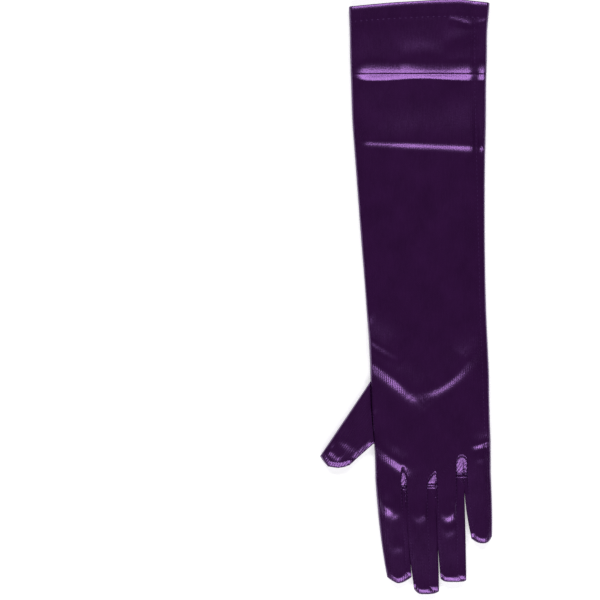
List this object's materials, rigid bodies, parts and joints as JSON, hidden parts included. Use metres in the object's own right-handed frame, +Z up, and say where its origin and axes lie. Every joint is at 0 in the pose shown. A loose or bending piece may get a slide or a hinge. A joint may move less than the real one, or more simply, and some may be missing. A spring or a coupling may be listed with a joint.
{
  "type": "satin evening glove",
  "caption": "Long left-hand evening glove of stretch satin lying flat on its palm, with fourchettes, set-in thumb and hemmed cuff.",
  "frame": {"origin": "middle of the outline of the flat glove, on the surface that it lies on", "axes": "+Y from the fingers to the cuff, -X to the thumb's side, +Z up through the back of the hand"},
  "size_m": [0.1238, 0.4142, 0.0122],
  "materials": {
    "satin": "deep purple stretch satin, right side",
    "hem_satin": "deep purple stretch satin, reverse side",
    "thread": "matching polyester sewing thread"
  },
  "bodies": {
    "root": {"trank": "satin", "thumb": "satin", "fourchette_index_middle": "satin", "fourchette_middle_ring": "satin", "fourchette_ring_little": "satin", "cuff_hem": "hem_satin"}
  },
  "joints": []
}
